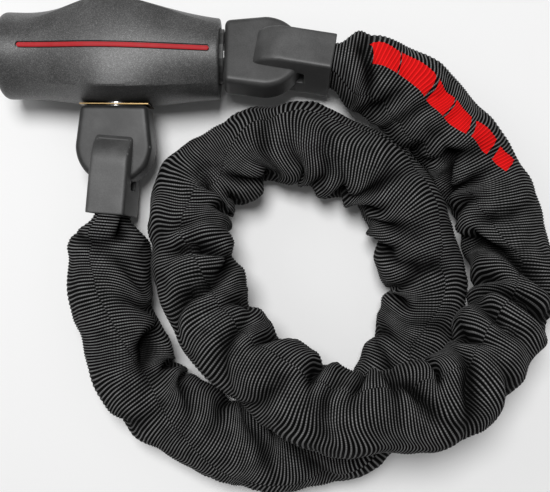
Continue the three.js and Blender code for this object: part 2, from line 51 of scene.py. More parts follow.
# ---- the lock's own measures, in millimetres ----
AXIS_Z = 22.6
KEY_END_X = -49.0
PLUG_END_X = 50.6
COVER_KEY_RADIUS = 19.8
COVER_PLUG_RADIUS = 18.1
COVER_FACE = 23.0
COVER_CORNER = 20.4
COVER_ROLL = math.radians(6.5)
COVER_SAG = 1.3  # how far the cover's ends sit below its bore
KEY_EASE = 3.2
PLUG_EASE = 0.9
COVER_PEAK_X = 1.0
COVER_PEAK_REACH = (41.0, 58.0)
BORE_RADIUS = 16.3
COLLAR_BORE_RADIUS = 12.8
LUG_LENGTH = 36.1
LUG_HALF = (15.5, 17.6)
LUG_THICK = 15.6
LUG_EDGE = 2.3
EYE_HALF = 11.3
EYE_TOP = 11.0
WEB_NOSE = 24.7
WEB_HALF = 4.2
PIVOT = 26.0
BOOT_MOUTH = 50.0
BOOT_HALF = 8.9
BOOT_THICK = 31.0
SLEEVE_START = 60.6
STRAIGHT_RUN = 5.0
SLEEVE_HALF = (18.3, 16.2)
PLUG_SECTION = 165.0
FLOOR_CLEAR = 0.25
HEADS = {
    "fixed": {"at": (3.2, -24.0, AXIS_Z), "turn": -90.0, "roll": 3.0, "rest": -4.0},
    "plug": {"at": (52.6, 0.0, AXIS_Z), "turn": 0.0, "roll": -15.0, "rest": -9.0},
}
ROUTE = [
    (0, -99, 22.6), (1, -114, 21.4), (5.5, -131.5, 18.4), (13.5, -150, 16.8), (29, -165.5, 16.5),
    (48.5, -176, 16.5), (68.5, -183, 16.5), (90, -184, 16.5), (111, -178, 16.5), (127.5, -164, 16.5),
    (137, -145, 16.5), (144.8, -125, 16.5), (149, -104, 16.5), (145, -83, 16.5), (134, -64, 16.5),
    (118.5, -49.5, 16.5), (100, -39.8, 16.5), (78.5, -38.3, 16.5), (61, -42.2, 16.5),
    (48.5, -49, 17), (40, -60.5, 19.4), (37, -75, 23.6), (39, -93.5, 28.8), (45.5, -113, 33.8),
    (57.5, -130, 39), (72.5, -144.5, 44), (91.5, -154.5, 47.2), (112.5, -159.5, 49),
    (134, -160, 49.2), (153.5, -152.5, 47.4), (170, -139.5, 42.6), (181.5, -123, 35),
    (187, -103.5, 28.2), (184.5, -82.5, 23.4), (177, -62, 21.2), (166, -43, 21.8), (153.5, -29, 23.4),
    (141, -18.3, 24.6), (129, -10.8, 24.6),
]
CAMERA_AT = (0.0772, -0.0871, 0.430)  # metres
CAMERA_TURN = 0.9
CAMERA_LENS = 57.63

# ---- how the chain steers the sleeve ----
TUCK = 2.2  # how far the sleeve runs into a boot
TO_FIRST_BAR = 16.2
EDGE_SPAN = 38.8  # from bar to bar across a link that stands on edge
FLAT_LINKS = 14
BEND_REACH = 7.5
INLAND = (4, 24)  # the straightening fades in over this stretch from each end
STRAIGHTNESS = 0.94
CHORD_SHARE = 0.95
TURN_FADE = (10, 70)  # the sleeve takes up its head's roll over this stretch
TANGENT_WINDOW = 4
SHIFT_WINDOW = 12
BEND_WINDOW = 30
PLUG_LINKS = (22, 26)
FIRST_LINK_SPAN = (47.0, 84.0)

# ---- the cloth's own measures ----
RIB_PITCH = 1.35
RINGS_PER_RIB = 4
RIB_DEPTH = 0.5
SLEEVE_SIDES = 96
MOUTH_RUN = 13  # from the boot's width to the sleeve's
MOUTH_INSET = (1.5, 1.9)
LINK_WAVE = (9, 59.5)  # where the first swelling lies, and from one to the next
SWELL = (0.55, 0.45)
SLEEVE_CORNERS = (0.62, 0.22)
FOLD_SCALE = 2.3
FOLD_WANDER = 0.9
VALLEY = (0.85, 1.5)  # its share of the fold's half width, and how sharp it is
SHOULDERS = (1.7, 1.15, 0.4, 0.26)  # place and width in half widths, height in front and behind
FOLD_ENDS = (1, 7)
DRAG_ENDS = (6, 40)
PROUD = 1.8  # cloth that stands out further than this is held back
HELD_BACK = 0.3
DEEP_FOLD = 5.0  # a fold this deep gets the darkest painted shade
SEAM_SINK = (0.16, 0.6)
CLOTH_RADIUS = 18.0
FLOOR_RELIEF = 0.12  # the share of its relief that cloth keeps where it lies on the floor
LINK_REACH = 36.0
LINK_CLEAR = 0.9
PUSHED_IN = -0.5
PROBE = 13.0
PAST_LUG = 20  # cutting tools reach this far to both sides of a lug, or of a boot
PAST_BOOT = 30


# ---- camera ----
def add_camera():
    data = bpy.data.cameras.new("camera")
    data.lens = CAMERA_LENS
    data.sensor_width = 36.0
    data.dof.use_dof = False
    camera = bpy.data.objects.new("camera", data)
    bpy.context.collection.objects.link(camera)
    camera.location = CAMERA_AT
    camera.rotation_euler = (0.0, 0.0, math.radians(CAMERA_TURN))
    bpy.context.scene.camera = camera


# ---- where the heads and the sleeve lie ----
def head_matrix(name):
    head = HEADS[name]
    turn = Matrix.Rotation(math.radians(head["turn"]), 4, "Z")
    roll = Matrix.Rotation(math.radians(head["roll"]), 4, "X")
    return Matrix.Translation(head["at"]) @ turn @ roll


def swung_matrix(name):
    swing = Matrix.Rotation(math.radians(HEADS[name]["rest"]), 4, "Z")
    to_pivot = Matrix.Translation((PIVOT, 0, 0))
    return head_matrix(name) @ to_pivot @ swing @ to_pivot.inverted()


def on_head_axis(name, distance):
    return np.array(swung_matrix(name) @ Vector((distance, 0, 0)))


def smooth_line(points, steps=40):
    """A centripetal Catmull-Rom curve through the points."""
    line = []
    for i in range(len(points) - 1):
        p1, p2 = points[i], points[i + 1]
        p0 = points[i - 1] if i else 2 * p1 - p2
        p3 = points[i + 2] if i + 2 < len(points) else 2 * p2 - p1
        d0, d1, d2 = (np.sum((b - a) ** 2) ** 0.25 for a, b in ((p0, p1), (p1, p2), (p2, p3)))
        m1 = d1 * ((p1 - p0) / d0 - (p2 - p0) / (d0 + d1) + (p2 - p1) / d1)
        m2 = d1 * ((p2 - p1) / d1 - (p3 - p1) / (d1 + d2) + (p3 - p2) / d2)
        t = np.linspace(0, 1, steps, endpoint=False)[:, None]
        square = 3 * (p2 - p1) - 2 * m1 - m2
        cube = 2 * (p1 - p2) + m1 + m2
        line.append(p1 + m1 * t + square * t ** 2 + cube * t ** 3)
    line.append(points[-1:])
    return np.vstack(line)


def eased(values, reach):
    """A running mean over reach values to either side."""
    window = np.ones(2 * reach + 1) / (2 * reach + 1)
    return np.convolve(np.pad(values, reach, mode="edge"), window, "valid")


def eased_points(points, reach):
    return np.stack([eased(points[:, k], reach) for k in range(3)], 1)


def unit(vectors):
    return vectors / np.linalg.norm(vectors, axis=-1, keepdims=True)


def smooth(low, high, value):
    t = np.clip((value - low) / (high - low), 0, 1)
    return t * t * (3 - 2 * t)


class Route:
    """The sleeve's centreline from one boot's mouth to the other's, with a frame at each ring."""

    def __init__(self):
        straight_end = SLEEVE_START + STRAIGHT_RUN
        inner = [on_head_axis("fixed", SLEEVE_START), on_head_axis("fixed", straight_end)]
        inner += [np.array(point, float) for point in ROUTE]
        inner += [on_head_axis("plug", straight_end), on_head_axis("plug", SLEEVE_START)]
        tucked = BOOT_MOUTH - TUCK
        line = np.vstack([
            on_head_axis("fixed", tucked), smooth_line(np.array(inner)), on_head_axis("plug", tucked),
        ])
        steps = np.linalg.norm(np.diff(line, axis=0), axis=1)
        known = np.concatenate([[0], np.cumsum(steps)])
        self.length = float(known[-1])
        count = int(round(self.length / RIB_PITCH)) * RINGS_PER_RIB
        self.s = np.linspace(0, self.length, count + 1)
        self.at = np.stack([np.interp(self.s, known, line[:, k]) for k in range(3)], 1)
        ahead = eased_points(np.gradient(self.at, axis=0), TANGENT_WINDOW)
        self.tangent = unit(ahead)
        self.follow_links()
        self.side = unit(np.cross([0, 0, 1.0], self.tangent))
        self.up = np.cross(self.tangent, self.side)
        self.roll = np.zeros(len(self.s))
        near, far = TURN_FADE
        for name, fade in (("fixed", 1 - smooth(near, far, self.s)),
                           ("plug", smooth(self.length - far, self.length - near, self.s))):
            end = 0 if name == "fixed" else -1
            head_up = np.array(swung_matrix(name).to_3x3() @ Vector((0, 0, 1)))
            angle = math.atan2(-float(head_up @ self.side[end]), float(head_up @ self.up[end]))
            self.roll += fade * angle
        turn = np.gradient(unit(ahead), axis=0) / np.gradient(self.s)[:, None]
        self.bend = eased(np.sum(turn * self.side, axis=1), BEND_WINDOW)

    def follow_links(self):
        """Lets the rings stand straight along each link and turn where the chain bends."""
        bars = [0.0, TO_FIRST_BAR]
        flat_span = (self.length - 2 * TO_FIRST_BAR - (FLAT_LINKS - 1) * EDGE_SPAN) / FLAT_LINKS
        for index in range(2 * FLAT_LINKS - 1):
            bars.append(bars[-1] + (flat_span if index % 2 == 0 else EDGE_SPAN))
        bars = np.array(bars + [self.length])
        corners = np.stack([np.interp(bars, self.s, self.at[:, k]) for k in range(3)], 1)
        chords = unit(np.diff(corners, axis=0))
        stepped = np.zeros_like(self.tangent)
        middles = np.stack([np.interp(self.s, bars, corners[:, k]) for k in range(3)], 1)
        past = [smooth(bar - BEND_REACH, bar + BEND_REACH, self.s) for bar in bars]
        past[0] = np.ones(len(self.s))
        past[-1] = np.zeros(len(self.s))
        for index, chord in enumerate(chords):
            stepped += (past[index] * (1 - past[index + 1]))[:, None] * chord
        inland = smooth(*INLAND, np.minimum(self.s, self.length - self.s))[:, None]
        along_links = unit(stepped) * STRAIGHTNESS * inland
        self.tangent = unit(self.tangent * (1 - STRAIGHTNESS * inland) + along_links)
        shift = (middles - self.at) * CHORD_SHARE * inland
        self.centre = self.at + eased_points(shift, SHIFT_WINDOW)


add_camera()
route = Route()


# ---- cloth: wrinkles on the sleeve ----
def waves(points, wavelength, seed, count=10):
    """A smooth, steady noise in space, about -1 to 1."""
    random = np.random.default_rng(seed)
    directions = unit(random.normal(size=(count, 3)))
    phases = random.uniform(0, 2 * math.pi, count)
    stretch = random.uniform(0.7, 1.4, count)
    total = sum(
        np.sin(points @ direction * (2 * math.pi * scale / wavelength) + phase)
        for direction, phase, scale in zip(directions, phases, stretch)
    )
    return total / math.sqrt(count)


# Each fold: distance along the sleeve, angle round it (0 is its left side, 90 its top, 180 its
# right), depth, half width across the fold, half length along it, and its slant: 90 lies round
# the sleeve and 0 runs along it.
FOLDS = [
    (9, 50, 3.8, 3.0, 12, 66), (15, 125, 1.6, 3.0, 13, 104), (26, 60, 1.6, 3.6, 16, 118),
    (44, 24, 2.2, 4.2, 14, 96), (60, 34, 3.4, 4.6, 13, 60), (70, 52, 4.4, 5.2, 14, 28),
    (84, 20, 3.0, 4.4, 14, 84), (93, 132, 1.6, 4.6, 20, 104), (104, 40, 2.0, 4.4, 18, 66),
    (124, 26, 2.4, 4.4, 17, 96), (146, 66, 2.2, 4.6, 18, 52), (153, 22, 2.6, 4.4, 16, 92),
    (172, 100, 2.0, 4.8, 18, 60), (186, 28, 2.8, 4.2, 14, 102), (201, 40, 3.2, 4.2, 15, 84),
    (213, 22, 2.8, 4.0, 13, 98), (230, 62, 2.4, 4.6, 17, 122), (243, 28, 2.6, 4.4, 16, 92),
    (258, 104, 1.6, 4.8, 18, 84), (268, 26, 3.4, 4.4, 15, 100), (281, 40, 2.8, 4.2, 16, 74),
    (291, 66, 2.6, 4.4, 19, 122), (301, 24, 3.6, 4.0, 14, 92), (312, 50, 3.4, 4.4, 17, 128),
    (326, 30, 4.2, 4.4, 15, 112), (334, 66, 3.6, 4.4, 17, 118), (347, 26, 3.6, 4.0, 14, 76),
    (359, 50, 2.4, 4.4, 16, 96), (374, 24, 2.4, 4.2, 15, 88), (388, 70, 1.8, 4.6, 18, 104),
    (401, 28, 3.0, 4.0, 14, 96), (411, 48, 3.2, 4.0, 15, 62), (422, 26, 3.4, 3.8, 13, 86),
    (433, 60, 3.4, 4.0, 15, 116), (444, 28, 3.2, 3.8, 13, 92), (455, 104, 1.6, 4.4, 18, 90),
    (467, 74, 4.4, 4.0, 16, 108), (476, 40, 3.6, 3.8, 13, 80), (484, 92, 3.8, 4.0, 15, 70),
    (497, 30, 2.8, 4.2, 15, 98), (509, 76, 2.6, 4.4, 18, 60), (521, 26, 2.8, 4.2, 15, 92),
    (536, 112, 2.0, 4.8, 18, 112), (548, 36, 3.4, 4.2, 15, 74), (561, 70, 2.2, 4.4, 16, 100),
    (573, 28, 3.0, 4.2, 14, 100), (588, 44, 2.8, 4.2, 15, 84), (599, 60, 4.6, 4.2, 15, 60),
    (611, 30, 3.4, 4.2, 14, 92), (622, 84, 4.0, 4.6, 17, 116), (634, 128, 2.0, 4.8, 18, 90),
    (642, 30, 3.4, 4.2, 15, 88), (655, 58, 3.0, 4.4, 16, 104), (666, 84, 4.4, 4.2, 22, 82),
    (676, 34, 3.4, 4.0, 14, 100), (686, 84, 3.8, 4.2, 20, 128), (699, 40, 3.6, 4.2, 16, 118),
    (709, 70, 2.6, 4.2, 16, 66), (719, 26, 3.2, 4.0, 14, 84), (732, 44, 3.8, 4.0, 15, 72),
    (742, 30, 4.6, 4.2, 17, 30), (753, 56, 3.6, 4.2, 16, 116), (767, 34, 2.4, 4.4, 16, 92),
    (781, 70, 1.6, 4.6, 18, 100), (795, 36, 2.8, 4.0, 14, 110), (806, 60, 3.6, 3.6, 14, 66),
    (812, 120, 1.6, 3.2, 12, 100),
]
# Where the sleeve's lengthwise seam lies round it, along its length.
SEAM = [
    (0, 112), (60, 84), (82, 71), (141, 130), (190, 128), (245, 84), (301, 122), (340, 150),
    (390, 116), (423, 80), (455, 96), (510, 64), (600, 50), (655, 66), (686, 92), (720, 60),
    (760, 36), (822, 30),
]


def seam_angle(s):
    known = np.array(SEAM, float)
    return np.interp(s, known[:, 0], known[:, 1])


def wrapped(angle):
    return (angle + math.pi) % (2 * math.pi) - math.pi


def fold_depth(s, angle):
    """How far the folds push the cloth in: each a crease with a raised shoulder on both sides."""
    total = np.zeros_like(s)
    radius = sum(SLEEVE_HALF) / 2
    shoulder_at, shoulder_width, front_height, back_height = SHOULDERS
    valley_share, sharpness = VALLEY
    for at, around, depth, half_width, half_length, slant in FOLDS:
        along = s - at
        across = radius * wrapped(angle - math.radians(around))
        lean = math.radians(slant)
        through = along * math.sin(lean) - across * math.cos(lean)
        run = along * math.cos(lean) + across * math.sin(lean)
        through = through + FOLD_WANDER * np.sin(run / half_length * 2.1 + at)
        valley = np.exp(-np.abs(through / (valley_share * half_width)) ** sharpness)
        width = shoulder_width * half_width
        front = np.exp(-(((through - shoulder_at * half_width) / width) ** 2))
        back = np.exp(-(((through + shoulder_at * half_width) / width) ** 2))
        shape = valley - front_height * front - back_height * back
        total += FOLD_SCALE * depth * shape * np.exp(-((run / half_length) ** 2))
    return total


def link_trees():
    """Each link's place along the sleeve and a tree of its faces, to keep the cloth off it."""
    trees = []
    names = [f"chain_link_{i:02d}" for i in range(1, 28)] + ["fixed_end_link", "plug_end_link"]
    for name in names:
        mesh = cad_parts[name].data
        verts = [tuple(value / MM for value in vertex.co) for vertex in mesh.vertices]
        middle = np.mean(verts, axis=0)
        near = int(np.argmin(np.linalg.norm(route.at - middle, axis=1)))
        tree = BVHTree.FromPolygons(verts, [tuple(face.vertices) for face in mesh.polygons])
        trees.append((route.s[near], tree))
    return trees


def keep_off_links(points, checked):
    """Moves the checked points outwards until the cloth lies over the links and not in them."""
    trees = link_trees()
    for ring in range(len(points)):
        columns = np.nonzero(checked[ring])[0]
        if not len(columns):
            continue
        close = [tree for at, tree in trees if abs(at - route.s[ring]) < LINK_REACH]
        centre = route.at[ring]
        for column in columns:
            point = points[ring, column]
            inwards = (centre - point) / np.linalg.norm(centre - point)
            origin = point - inwards * PROBE
            for tree in close:
                distance = tree.ray_cast(Vector(origin), Vector(inwards), PROBE + LINK_CLEAR)[3]
                if distance is not None:
                    points[ring, column] = origin + inwards * (distance - LINK_CLEAR)
                    break


def sleeve_points():
    """The whole sleeve: its points, and at each the distance along and across the cloth and how
    deep in a fold it lies, which sets the painted shade in the folds. The rings carry wrinkles, folds, ribs
    and a seam."""
    rings, sides = len(route.s), SLEEVE_SIDES
    theta = np.arange(sides) / sides * 2 * math.pi
    s = np.repeat(route.s[:, None], sides, 1)
    angle = np.repeat(theta[None, :], rings, 0)
    to_end = np.minimum(s, route.length - s)
    opening = smooth(TUCK, MOUTH_RUN + TUCK, to_end)
    mouth_half = BOOT_HALF - MOUTH_INSET[0]
    mouth_height = BOOT_THICK / 2 - MOUTH_INSET[1]
    half_width = mouth_half + (SLEEVE_HALF[0] - mouth_half) * opening
    half_height = mouth_height + (SLEEVE_HALF[1] - mouth_height) * opening
    link = np.cos(2 * math.pi * (s - LINK_WAVE[0]) / LINK_WAVE[1])
    free = smooth(4, 26, to_end)
    half_width = half_width + SWELL[0] * link * free
    half_height = half_height - SWELL[1] * link * free
    squareness = SLEEVE_CORNERS[0] + SLEEVE_CORNERS[1] * opening
    c, n = np.cos(angle), np.sin(angle)
    across = half_width * np.sign(c) * np.abs(c) ** squareness
    upward = half_height * np.sign(n) * np.abs(n) ** squareness
    roll = np.repeat(route.roll[:, None], sides, 1)
    turned_across = across * np.cos(roll) - upward * np.sin(roll)
    turned_up = across * np.sin(roll) + upward * np.cos(roll)
    base = (
        route.centre[:, None, :] + turned_across[..., None] * route.side[:, None, :]
        + turned_up[..., None] * route.up[:, None, :]
    )
    outward = unit(
        (turned_across / half_width ** 2)[..., None] * route.side[:, None, :]
        + (turned_up / half_height ** 2)[..., None] * route.up[:, None, :]
    )
    flat = base.reshape(-1, 3)
    large = waves(flat, 34, 11).reshape(rings, sides)
    on_tube = np.stack([s / 2.6, CLOTH_RADIUS * np.cos(angle), CLOTH_RADIUS * np.sin(angle)], -1)
    on_tube = on_tube.reshape(-1, 3)
    drag = (2.9 * waves(on_tube, 44, 14) + 0.9 * waves(on_tube, 17, 15)).reshape(rings, sides)
    small = waves(flat, 11, 12).reshape(rings, sides)
    tiny = waves(flat, 4.5, 13).reshape(rings, sides)
    inside = np.clip(np.cos(angle) * np.sign(route.bend)[:, None], 0, 1) ** 1.5
    tightness = np.clip(np.abs(route.bend)[:, None] * 38, 0, 1)
    pleats = np.sin(2 * math.pi * (s + 2.6 * large) / 12.5 + 1.6 * small)
    folds = fold_depth(s, angle) * smooth(*FOLD_ENDS, to_end)
    push = (
        0.7 * large + 0.28 * small + 0.05 * tiny
        + 0.35 * inside * tightness * pleats * free
        - folds
    )
    # painted shade: the cloth is painted darker the deeper it lies in a fold
    hollow = np.clip(folds / DEEP_FOLD, 0, 1)
    push = np.where(push > PROUD, PROUD + HELD_BACK * (push - PROUD), push)
    seam = np.radians(seam_angle(s))
    off_seam = wrapped(angle - seam) * (half_width + half_height) / 2
    push = push - SEAM_SINK[0] * np.exp(-((off_seam / SEAM_SINK[1]) ** 2)) * free
    phase = 2 * math.pi * (s + np.where(off_seam > 0, 0.5 * RIB_PITCH, 0.0)) / RIB_PITCH
    push = push + RIB_DEPTH * 0.5 * np.cos(phase)
    points = base + push[..., None] * outward
    points += (drag * smooth(*DRAG_ENDS, to_end))[..., None] * route.tangent[:, None, :]
    keep_off_links(points, push < PUSHED_IN)
    lift = np.clip(points[..., 2], 0, None)
    low = FLOOR_CLEAR + FLOOR_RELIEF * lift
    points[..., 2] = np.where(points[..., 2] < low, low, points[..., 2])
    across_cloth = wrapped(angle - seam) * CLOTH_RADIUS
    return points, s, across_cloth, hollow


def grid_mesh(name, points, marks=None):
    """A tube over rings of points; marks are two more grids that become its cloth map."""
    rings, sides = points.shape[:2]
    mesh = bpy.data.meshes.new(name)
    verts = (points.reshape(-1, 3) * MM).tolist()
    i, j = np.meshgrid(np.arange(rings - 1), np.arange(sides), indexing="ij")
    after = (j + 1) % sides
    faces = np.stack([i * sides + j, i * sides + after, (i + 1) * sides + after, (i + 1) * sides + j], -1)
    faces = faces.reshape(-1, 4)
    mesh.from_pydata(verts, [], faces.tolist())
    if marks is not None:
        layer = mesh.uv_layers.new(name="cloth")
        values = np.stack([mark.reshape(-1)[faces.reshape(-1)] for mark in marks], -1) * MM
        layer.data.foreach_set("uv", values.astype(np.float32).reshape(-1))
    mesh.polygons.foreach_set("use_smooth", [True] * len(mesh.polygons))
    mesh.update()
    return mesh


def new_object(name, mesh, material=None):
    obj = bpy.data.objects.new(name, mesh)
    bpy.context.collection.objects.link(obj)
    if material is not None:
        mesh.materials.clear()
        mesh.materials.append(material)
    return obj


def grid_normals(points):
    along = np.gradient(points, axis=0)
    around = np.roll(points, -1, axis=1) - np.roll(points, 1, axis=1)
    return unit(np.cross(around, along))


def sleeve_pieces(material):
    """The sleeve in four pieces that share their edges: a mouth at each boot, a long main run,
    and the stretch by the plug."""
    points, s, across, hollow = sleeve_points()
    normals = grid_normals(points)
    mouth = SLEEVE_START - BOOT_MOUTH + TUCK
    cuts = {
        "fixed_mouth_cloth": (0, mouth),
        "main_cloth": (mouth, route.length - mouth - PLUG_SECTION),
        "plug_run_cloth": (route.length - mouth - PLUG_SECTION, route.length - mouth),
        "plug_mouth_cloth": (route.length - mouth, route.length),
    }
    made = {}
    for name, (low, high) in cuts.items():
        first, last = (int(np.argmin(np.abs(route.s - value))) for value in (low, high))
        part = slice(first, last + 1)
        mesh = grid_mesh(name, points[part], marks=(s[part], across[part]))
        mesh.normals_split_custom_set_from_vertices(normals[part].reshape(-1, 3).tolist())
        # each piece carries how deep its cloth lies in a fold, for the painted shade in the folds
        shade = mesh.attributes.new("hollow", "FLOAT", "POINT")
        shade.data.foreach_set("value", hollow[part].astype(np.float32).reshape(-1))
        made[name] = (new_object(name, mesh, material), route.centre[part])
    return made


# ---- shader building ----
def new_group(name, inputs, outputs):
    group = bpy.data.node_groups.new(name, "ShaderNodeTree")
    for label, kind, value in inputs:
        socket = group.interface.new_socket(label, in_out="INPUT", socket_type=kind)
        if value is not None:
            socket.default_value = value
    for label, kind in outputs:
        group.interface.new_socket(label, in_out="OUTPUT", socket_type=kind)
    return group, group.nodes.new("NodeGroupInput"), group.nodes.new("NodeGroupOutput")


def node(tree, kind, settings=None, **values):
    """A node with its settings and its sockets' values or links; socket names use _ for a space."""
    made = tree.nodes.new(kind)
    for name, value in (settings or {}).items():
        setattr(made, name, value)
    for name, value in values.items():
        key = int(name[2:]) if name.startswith("in") and name[2:].isdigit() else name.replace("_", " ")
        socket = made.inputs[key]
        if isinstance(value, bpy.types.NodeSocket):
            tree.links.new(value, socket)
        else:
            socket.default_value = value
    return made


def math_node(tree, operation, first, second=0.0, third=None):
    values = {"in0": first, "in1": second}
    if third is not None:
        values["in2"] = third
    return node(tree, "ShaderNodeMath", {"operation": operation}, **values).outputs[0]


def ramp(tree, value, stops, ease="LINEAR"):
    made = node(tree, "ShaderNodeValToRGB", Fac=value)
    made.color_ramp.interpolation = ease
    elements = made.color_ramp.elements
    while len(elements) < len(stops):
        elements.new(0.5)
    for element, (position, colour) in zip(elements, stops):
        element.position = position
        element.color = colour if len(colour) == 4 else (*colour, 1)
    return made.outputs["Color"]


def grey(value):
    return (value, value, value)


def mix(tree, factor, first, second, blend="MIX"):
    made = tree.nodes.new("ShaderNodeMix")
    made.data_type = "RGBA"
    made.blend_type = blend
    for index, value in ((0, factor), (6, first), (7, second)):
        if isinstance(value, bpy.types.NodeSocket):
            tree.links.new(value, made.inputs[index])
        else:
            made.inputs[index].default_value = value if index == 0 or len(value) == 4 else (*value, 1)
    return made.outputs[2]


def noise(tree, vector, scale, detail=2.0, rough=0.5):
    return node(
        tree, "ShaderNodeTexNoise", Vector=vector, Scale=scale, Detail=detail, Roughness=rough,
    ).outputs["Fac"]


def fleck_group():
    """Fine metallic flecks and the pebbled grain of a moulded skin."""
    group, given, result = new_group(
        "moulded_fleck",
        [("Fleck Size", "NodeSocketFloat", 0.4), ("Grain Size", "NodeSocketFloat", 0.25)],
        [("Flecks", "NodeSocketFloat"), ("Cloud", "NodeSocketFloat"), ("Grain", "NodeSocketFloat")],
    )
    place = node(group, "ShaderNodeTexCoord").outputs["Object"]
    fleck_scale = math_node(group, "DIVIDE", 1000.0, given.outputs["Fleck Size"])
    grain_scale = math_node(group, "DIVIDE", 1000.0, given.outputs["Grain Size"])
    cells = node(group, "ShaderNodeTexVoronoi", Vector=place, Scale=fleck_scale)
    tone = node(group, "ShaderNodeSeparateColor", Color=cells.outputs["Color"]).outputs["Red"]
    blotch = noise(group, place, fleck_scale, 3.0, 0.7)
    spark = math_node(group, "MULTIPLY", tone, blotch)
    group.links.new(spark, result.inputs["Flecks"])
    group.links.new(noise(group, place, 55.0, 3.0, 0.55), result.inputs["Cloud"])
    group.links.new(noise(group, place, grain_scale, 2.0, 0.6), result.inputs["Grain"])
    return group


def wear_group():
    """Where corners are rubbed: proud edges, broken up by a fine noise."""
    group, given, result = new_group(
        "edge_wear",
        [("Start", "NodeSocketFloat", 0.53), ("Full", "NodeSocketFloat", 0.6)],
        [("Worn", "NodeSocketFloat")],
    )
    proud = node(group, "ShaderNodeNewGeometry").outputs["Pointiness"]
    place = node(group, "ShaderNodeTexCoord").outputs["Object"]
    ragged = math_node(group, "MULTIPLY_ADD", noise(group, place, 900.0, 4.0, 0.65), 0.05, -0.025)
    edge = node(
        group, "ShaderNodeMapRange", {"clamp": True},
        Value=math_node(group, "ADD", proud, ragged), in1=given.outputs["Start"], in2=given.outputs["Full"],
    )
    group.links.new(edge.outputs["Result"], result.inputs["Worn"])
    return group


def dust_group():
    """Pale dust that settles thinly in broken patches."""
    group, given, result = new_group(
        "settled_dust", [("Patch Size", "NodeSocketFloat", 12.0)], [("Dust", "NodeSocketFloat")],
    )
    place = node(group, "ShaderNodeTexCoord").outputs["Object"]
    scale = math_node(group, "DIVIDE", 1000.0, given.outputs["Patch Size"])
    patch = noise(group, place, scale, 5.0, 0.6)
    specks = noise(group, place, 2600.0, 2.0, 0.5)
    amount = node(group, "ShaderNodeMapRange", {"clamp": True}, Value=patch, in1=0.45, in2=0.75)
    group.links.new(math_node(group, "MULTIPLY", amount.outputs["Result"], specks), result.inputs["Dust"])
    return group


def brushed_group():
    """Fine drawn lines along one direction of a metal piece."""
    group, given, result = new_group(
        "drawn_lines", [("Along", "NodeSocketVector", (0.05, 1.0, 1.0))], [("Lines", "NodeSocketFloat")],
    )
    place = node(group, "ShaderNodeTexCoord").outputs["Object"]
    squeezed = node(
        group, "ShaderNodeVectorMath", {"operation": "MULTIPLY"}, in0=place, in1=given.outputs["Along"],
    ).outputs[0]
    group.links.new(noise(group, squeezed, 2400.0, 3.0, 0.6), result.inputs["Lines"])
    return group


GROUPS = {
    "fleck": fleck_group(), "wear": wear_group(), "dust": dust_group(), "lines": brushed_group(),
}


def use(tree, name, **values):
    made = tree.nodes.new("ShaderNodeGroup")
    made.node_tree = GROUPS[name]
    for label, value in values.items():
        made.inputs[label.replace("_", " ")].default_value = value
    return made.outputs


def new_material(name, **surface):
    material = bpy.data.materials.new(name)
    material.use_nodes = True
    tree = material.node_tree
    shader = tree.nodes["Principled BSDF"]
    for label, value in surface.items():
        shader.inputs[label.replace("_", " ")].default_value = value
    return material, tree, shader


def bump(tree, shader, height, distance, strength=1.0):
    made = node(tree, "ShaderNodeBump", Height=height, Distance=distance, Strength=strength)
    tree.links.new(made.outputs["Normal"], shader.inputs["Normal"])


def drive(tree, shader, **links):
    for label, socket in links.items():
        tree.links.new(socket, shader.inputs[label.replace("_", " ")])


def rough_between(tree, value, low, high):
    return node(tree, "ShaderNodeMapRange", {"clamp": True}, Value=value, in3=low, in4=high).outputs["Result"]


def charcoal_cover():
    material, tree, shader = new_material("charcoal_cover", Metallic=0.0, IOR=1.5)
    fleck = use(tree, "fleck", Fleck_Size=0.26, Grain_Size=0.3)
    tone = ramp(tree, fleck["Flecks"], [(0.0, grey(0.023)), (0.22, grey(0.041)), (0.42, grey(0.076)),
                                        (0.62, grey(0.17))])
    cloud = ramp(tree, fleck["Cloud"], [(0.3, grey(0.86)), (0.7, grey(1.1))])
    shaded = mix(tree, 1.0, tone, cloud, "MULTIPLY")
    worn = mix(tree, use(tree, "wear", Start=0.56, Full=0.66)["Worn"], shaded, grey(0.16))
    dust = math_node(tree, "MULTIPLY", use(tree, "dust", Patch_Size=18.0)["Dust"], 0.10)
    drive(tree, shader, Base_Color=mix(tree, dust, worn, grey(0.42)),
          Roughness=rough_between(tree, fleck["Flecks"], 0.46, 0.34))
    bump(tree, shader, fleck["Grain"], 0.00006, 0.7)
    return material


def lug_rubber(name="lug_rubber", tone=1.0, patch=10.0):
    material, tree, shader = new_material(name, Metallic=0.0, IOR=1.5, Sheen_Weight=0.06)
    fleck = use(tree, "fleck", Fleck_Size=0.3, Grain_Size=0.35)
    colour = ramp(tree, fleck["Cloud"], [(0.3, grey(0.022 * tone)), (0.7, grey(0.036 * tone))])
    fine = ramp(tree, fleck["Flecks"], [(0.0, grey(0.8)), (0.5, grey(1.3))])
    shaded = mix(tree, 1.0, colour, fine, "MULTIPLY")
    worn = mix(tree, use(tree, "wear", Start=0.55, Full=0.64)["Worn"], shaded, grey(0.11))
    dust = math_node(tree, "MULTIPLY", use(tree, "dust", Patch_Size=patch)["Dust"], 0.14)
    drive(tree, shader, Base_Color=mix(tree, dust, worn, grey(0.3)),
          Roughness=rough_between(tree, fleck["Cloud"], 0.42, 0.56))
    bump(tree, shader, fleck["Grain"], 0.00005, 0.6)
    return material


